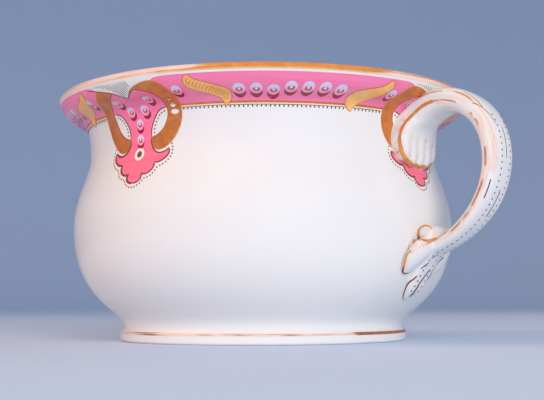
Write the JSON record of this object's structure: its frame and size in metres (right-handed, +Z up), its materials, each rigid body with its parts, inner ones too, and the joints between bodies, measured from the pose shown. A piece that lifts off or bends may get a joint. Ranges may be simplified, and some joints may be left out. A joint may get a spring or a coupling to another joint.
{
  "type": "chamber pot",
  "caption": "Round-bellied glazed earthenware chamber pot with a flared rim and a foot ring, carried by one scrolled strap handle with leaf ends.",
  "frame": {"origin": "centre of the foot ring's resting face, on the pot's axis", "axes": "+Z up along the pot's axis, +X from the axis towards the handle, +Y to the left of a viewer who looks at the handle"},
  "size_m": [0.2654, 0.23, 0.1345],
  "materials": {
    "glazed_earthenware": "clear glossy lead glaze over a white body",
    "rose_enamel": "glossy pink overglaze enamel",
    "gilding": "fired liquid gilding, worn on the lip, foot and handle",
    "dark_print": "brown-black printed lines and dots under a glossy glaze"
  },
  "bodies": {
    "root": {"bowl": "glazed_earthenware", "foot_ring": "glazed_earthenware", "handle_strap": "glazed_earthenware", "upper_leaf": "glazed_earthenware", "scroll": "glazed_earthenware", "lower_leaf_left": "glazed_earthenware", "lower_leaf_right": "glazed_earthenware", "bud_left": "glazed_earthenware", "bud_right": "glazed_earthenware"}
  },
  "joints": []
}
